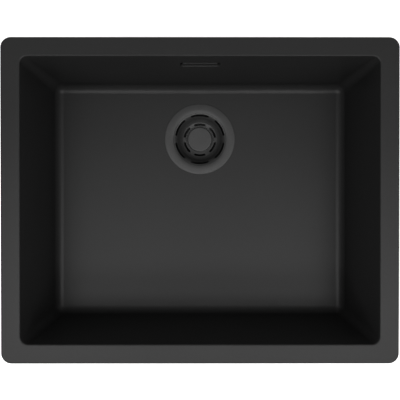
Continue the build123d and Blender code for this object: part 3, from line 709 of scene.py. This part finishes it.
def slot_half(turn, radius):
    """Half the width of a ring's slots at a turn, rounded off at the slots' ends."""
    half = SLOT_HALVES[radius]
    off = abs(turn % SLOT_SECTOR - SLOT_SECTOR / 2) * radius
    past = off - (SLOT_SPAN / 2 * radius - half)
    if past <= 0:
        return half
    return math.sqrt(max(half**2 - past**2, 0))


def basket_turns():
    """Turns of the basket's columns, close together at the slots' round ends."""
    offs = [math.radians(angle) for angle in COLUMN_DEGREES]
    for radius, half in SLOT_HALVES.items():
        for step in range(SLOT_END_STEPS + 1):
            along = math.sin(math.pi / 2 * step / SLOT_END_STEPS)
            offs.append(SLOT_SPAN / 2 - half / radius * (1 - along))
    offs += [-off for off in offs]
    middles = [SLOT_SECTOR * (slot + 0.5) for slot in range(SLOTS)]
    turns = {round(middle + off, TURN_DIGITS) for middle in middles for off in offs}
    return sorted(turn for turn in turns if turn < 2 * math.pi - CLOSE)


def strainer_basket():
    """Basket with two rings of round-ended slots, a boss for the knob and a lip flush with the dish."""
    top = bent_line(BASKET_LINE, BASKET_BEND)
    under = offset_line(top, BASKET_SHEET)
    # Rows run from the lip inwards: a radius and 0, or a slot ring's radius and the side of its slots.
    rows = []
    for corner in top[1:]:
        beside = all(abs(corner.x - radius) > half + SLOT_MARGIN for radius, half in SLOT_HALVES.items())
        if beside and corner.x > BOSS_RADIUS:
            rows.append((corner.x, 0))
    rows += [(radius, side) for radius in SLOT_HALVES for side in (-1, 1)]
    rows.sort(key=lambda row: -row[0] - row[1] * SLOT_HALVES.get(row[0], 0))
    form = bmesh.new()
    turns = basket_turns()
    place = Matrix.Translation((0, DRAIN_Y, FLOOR_Z))

    def point(reach, height, turn):
        return form.verts.new(place @ Vector((reach * math.cos(turn), reach * math.sin(turn), height)))

    def row_points(line, row):
        radius, side = row
        reaches = [radius + side * slot_half(turn, radius) if side else radius for turn in turns]
        return [point(reach, height_at(line, reach), turn) for reach, turn in zip(reaches, turns)]

    def ring(reach, height):
        return [point(reach, height, turn) for turn in turns]

    floor = BASKET_LINE[-1][1]
    upper = [row_points(top, row) for row in rows]
    lower = [row_points(under, row) for row in rows]
    hub = [ring(BOSS_RADIUS, floor), ring(BOSS_RADIUS, BOSS_TOP), ring(STEM_HOLE, BOSS_TOP)]
    hub.append(ring(STEM_HOLE, floor - BASKET_SHEET))
    lip = [ring(top[0].x, height_at(under, top[0].x)), ring(*top[0])]

    def quad(first, second, step):
        form.faces.new((first[step - 1], first[step], second[step], second[step - 1]))

    def band(first, second):
        for step in range(len(turns)):
            quad(first, second, step)

    # Side 1 is the outer side of the slots: there only the slots' walls are made, and no band across.
    for index, (radius, side) in enumerate(rows[:-1]):
        if side != 1:
            band(upper[index], upper[index + 1])
            band(lower[index], lower[index + 1])
            continue
        for step in range(len(turns)):
            if slot_half(turns[step - 1], radius) + slot_half(turns[step], radius) > FINE_WELD:
                quad(upper[index], lower[index], step)
                quad(upper[index + 1], lower[index + 1], step)
    for chain in ([lower[0], *lip, upper[0]], [upper[-1], *hub, lower[-1]]):
        for first, second in zip(chain, chain[1:]):
            band(first, second)
    bmesh.ops.remove_doubles(form, verts=form.verts, dist=FINE_WELD)
    add_piece(form, "strainer_basket_slotted", "black_polymer", "basket", "strainer_basket")


sink_bowl()
clamp_screws()
overflow_screws()
overflow_cover()
waste_body()
strainer_dish()
strainer_basket()


def camera():
    """Camera above the bowl, a little behind its middle, looking down."""
    place = Vector(CAMERA_PLACE)
    ahead = (Vector(CAMERA_AIM) - place).normalized()
    right = ahead.cross(Vector((0, 1, 0))).normalized()
    up = right.cross(ahead)
    eye = bpy.data.objects.new("camera", bpy.data.cameras.new("camera"))
    eye.matrix_world = Matrix((right, up, -ahead)).transposed().to_4x4()
    eye.matrix_world.translation = place
    eye.data.lens = CAMERA_LENS
    eye.data.sensor_width = CAMERA_SENSOR
    bpy.context.scene.collection.objects.link(eye)
    bpy.context.scene.camera = eye


def softbox(name, place, aim, size, power):
    """Rectangular area lamp."""
    lamp = bpy.data.objects.new(name, bpy.data.lights.new(name, "AREA"))
    lamp.data.shape = "RECTANGLE"
    lamp.data.size, lamp.data.size_y = size
    lamp.data.energy = power
    lamp.location = place
    lamp.rotation_euler = (Vector(aim) - Vector(place)).to_track_quat("-Z", "Y").to_euler()
    bpy.context.scene.collection.objects.link(lamp)


def white_stage():
    """Pale one-sided material: lit as usual, and near white to the eye and in reflections."""
    material = bpy.data.materials.new("stage")
    material.use_nodes = True
    tree = material.node_tree
    lit = tree.nodes["Principled BSDF"]
    lit.inputs["Base Color"].default_value = STAGE_GREY
    lit.inputs["Roughness"].default_value = STAGE_ROUGHNESS
    path = tree.nodes.new("ShaderNodeLightPath")
    seen = path.outputs["Is Camera Ray"]
    for ray in ("Is Glossy Ray", "Is Transmission Ray"):
        either = tree.nodes.new("ShaderNodeMath")
        either.operation = "MAXIMUM"
        tree.links.new(seen, either.inputs[0])
        tree.links.new(path.outputs[ray], either.inputs[1])
        seen = either.outputs[0]
    glow = tree.nodes.new("ShaderNodeEmission")
    glow.inputs["Strength"].default_value = STAGE_GLOW
    both = tree.nodes.new("ShaderNodeAddShader")
    tree.links.new(lit.outputs[0], both.inputs[0])
    tree.links.new(glow.outputs[0], both.inputs[1])
    pick = tree.nodes.new("ShaderNodeMixShader")
    tree.links.new(seen, pick.inputs[0])
    tree.links.new(lit.outputs[0], pick.inputs[1])
    tree.links.new(both.outputs[0], pick.inputs[2])
    side = tree.nodes.new("ShaderNodeMixShader")
    tree.links.new(tree.nodes.new("ShaderNodeNewGeometry").outputs["Backfacing"], side.inputs[0])
    tree.links.new(pick.outputs[0], side.inputs[1])
    tree.links.new(tree.nodes.new("ShaderNodeBsdfTransparent").outputs[0], side.inputs[2])
    tree.links.new(side.outputs[0], tree.nodes["Material Output"].inputs["Surface"])
    return material


def stage():
    """Round floor that the outlet stands on, turned up into a low backdrop."""
    low = cad_box[0][2]
    profile = [(STAGE_RADIUS, low)]
    for step in range(1, STAGE_STEPS + 1):
        turn = math.pi / 2 * step / STAGE_STEPS
        rise = STAGE_BEND * (1 - math.cos(turn))
        profile.append((STAGE_RADIUS + STAGE_BEND * math.sin(turn), low + rise))
    profile.append((STAGE_RADIUS + STAGE_BEND, low + STAGE_HEIGHT))
    points = []
    for reach, height in profile:
        points += circle(reach, height)
    faces = [tuple(range(SEGMENTS))]
    for row in range(len(profile) - 1):
        for step in range(SEGMENTS):
            here = row * SEGMENTS + step
            beside = row * SEGMENTS + (step + 1) % SEGMENTS
            faces.append((here, here + SEGMENTS, beside + SEGMENTS, beside))
    mesh = bpy.data.meshes.new("stage")
    mesh.from_pydata(points, [], faces)
    mesh.polygons.foreach_set("use_smooth", [True] * len(mesh.polygons))
    mesh.materials.append(white_stage())
    floor = bpy.data.objects.new("stage", mesh)
    bpy.context.scene.collection.objects.link(floor)


def world():
    """Even sky of a plain studio."""
    sky = bpy.data.worlds.new("studio")
    sky.use_nodes = True
    light = sky.node_tree.nodes["Background"]
    light.inputs["Color"].default_value = (1, 1, 1, 1)
    light.inputs["Strength"].default_value = SKY_STRENGTH
    bpy.context.scene.world = sky


camera()
stage()
world()
for box in SOFTBOXES:
    softbox(*box)
bpy.context.scene.view_settings.view_transform = "Standard"
